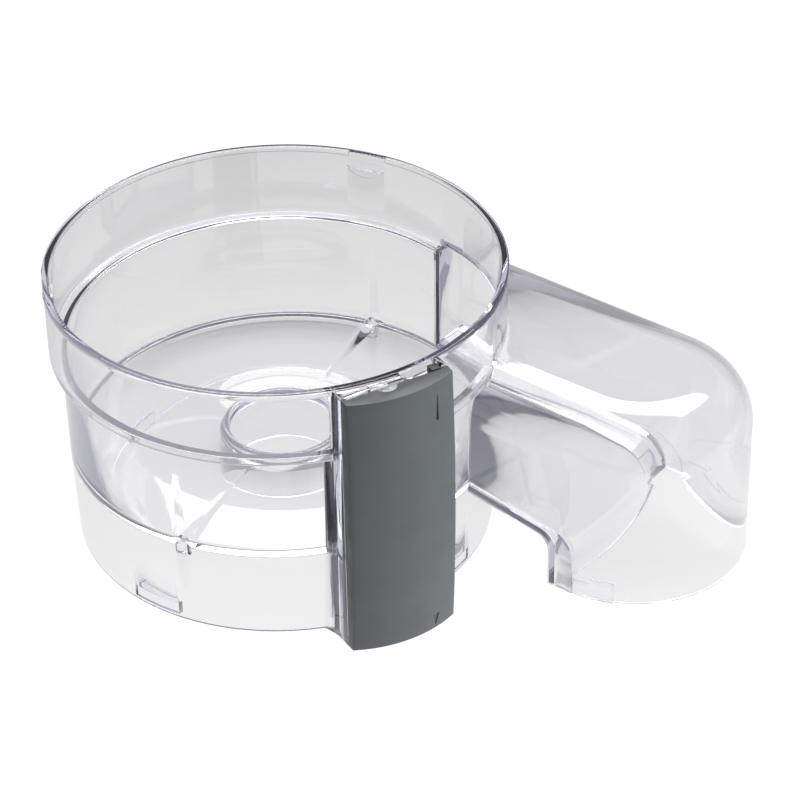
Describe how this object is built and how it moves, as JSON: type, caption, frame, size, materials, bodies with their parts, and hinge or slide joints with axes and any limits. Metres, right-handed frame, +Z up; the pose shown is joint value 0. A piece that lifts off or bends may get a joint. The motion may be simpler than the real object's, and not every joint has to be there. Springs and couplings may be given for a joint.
{
  "type": "food processor continuous-feed work bowl",
  "caption": "Clear work bowl of a food processor with an arched side discharge chute, a central drive neck and a grey front handle that holds a sprung lid-interlock rod.",
  "frame": {"origin": "On the bowl's axis, in the plane of the skirt's lower edge that the bowl stands on.", "axes": "+X along the discharge chute away from the bowl, +Z up the bowl's axis; the handle stands 22.4 degrees clockwise of +X seen from above."},
  "size_m": [0.28, 0.203, 0.1214],
  "materials": {
    "clear_plastic": "gloss",
    "grey_grip": "satin",
    "black_plastic": "satin",
    "spring_steel": "satin"
  },
  "bodies": {
    "root": {"bowl": "clear_plastic", "chute_hood": "clear_plastic", "chute_tray": "clear_plastic", "handle_cover": "grey_grip", "interlock_spring": "spring_steel"},
    "interlock": {"interlock_rod": "black_plastic"}
  },
  "joints": [
    {"name": "interlock_slide", "type": "slide", "parent": "root", "child": "interlock", "axis": [0, 0, -1], "range_m": [0, 0.005], "stiffness_N_per_m": 300, "springref_m": -0.003, "deforming": ["interlock_spring"]}
  ]
}
